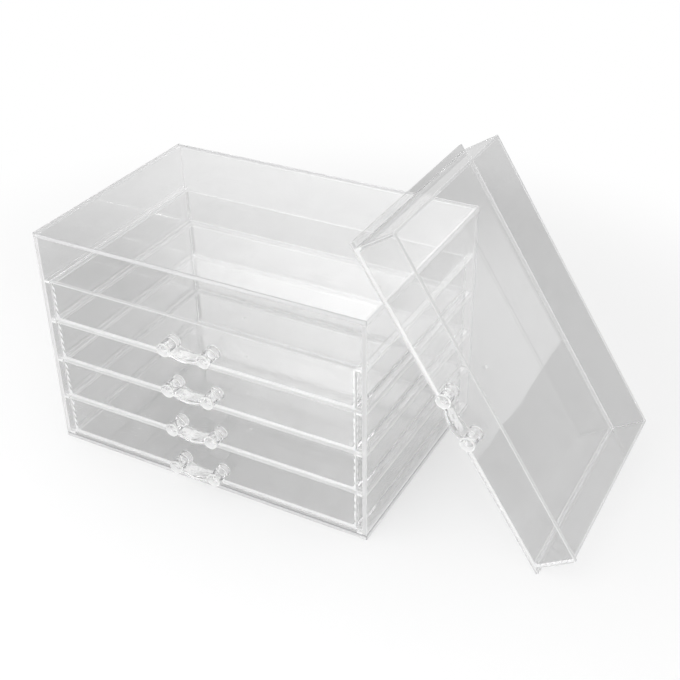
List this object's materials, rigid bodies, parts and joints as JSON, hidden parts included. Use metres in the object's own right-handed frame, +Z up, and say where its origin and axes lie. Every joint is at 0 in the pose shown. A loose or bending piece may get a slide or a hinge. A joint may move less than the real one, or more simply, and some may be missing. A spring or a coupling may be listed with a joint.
{
  "type": "jewellery drawer box",
  "caption": "Clear jewellery box: an open-fronted cabinet with ledges on its side walls and shallow pull-out drawers, one taken out and leant against its side.",
  "frame": {"origin": "centre of the cabinet's underside", "axes": "+Z up, -Y towards the cabinet's open front, +X towards the side that the loose drawer leans on"},
  "size_m": [0.3678, 0.1913, 0.2087],
  "materials": {
    "sheet": "polished clear acrylic sheet",
    "ledge_strip": "clear acrylic strip, sawn ends",
    "moulded_tray": "clear moulded plastic",
    "front_plate": "polished clear acrylic",
    "moulded_pull": "clear moulded plastic with cemented feet"
  },
  "bodies": {
    "cabinet": {"bottom_panel": "sheet", "top_panel": "sheet", "left_side_panel": "sheet", "right_side_panel": "sheet", "back_panel": "sheet", "left_ledge_1": "ledge_strip", "right_ledge_1": "ledge_strip", "left_ledge_2": "ledge_strip", "right_ledge_2": "ledge_strip", "left_ledge_3": "ledge_strip", "right_ledge_3": "ledge_strip", "left_ledge_4": "ledge_strip", "right_ledge_4": "ledge_strip", "left_ledge_5": "ledge_strip", "right_ledge_5": "ledge_strip"},
    "drawer_1": {"tray_1": "moulded_tray", "front_1": "front_plate", "pull_1": "moulded_pull"},
    "drawer_2": {"tray_2": "moulded_tray", "front_2": "front_plate", "pull_2": "moulded_pull"},
    "drawer_3": {"tray_3": "moulded_tray", "front_3": "front_plate", "pull_3": "moulded_pull"},
    "drawer_4": {"tray_4": "moulded_tray", "front_4": "front_plate", "pull_4": "moulded_pull"},
    "drawer_5": {"tray_5": "moulded_tray", "front_5": "front_plate", "pull_5": "moulded_pull"}
  },
  "joints": [
    {"name": "drawer_1_slide", "type": "slide", "parent": "cabinet", "child": "drawer_1", "axis": [0, -1, 0], "range_m": [0, 0.155]},
    {"name": "drawer_2_slide", "type": "slide", "parent": "cabinet", "child": "drawer_2", "axis": [0, -1, 0], "range_m": [0, 0.155]},
    {"name": "drawer_3_slide", "type": "slide", "parent": "cabinet", "child": "drawer_3", "axis": [0, -1, 0], "range_m": [0, 0.155]},
    {"name": "drawer_4_slide", "type": "slide", "parent": "cabinet", "child": "drawer_4", "axis": [0, -1, 0], "range_m": [0, 0.155]},
    {"name": "drawer_5_lift", "type": "slide", "parent": "cabinet", "child": "drawer_5", "axis": [0, 0, 1], "range_m": [0, 0.18]}
  ]
}
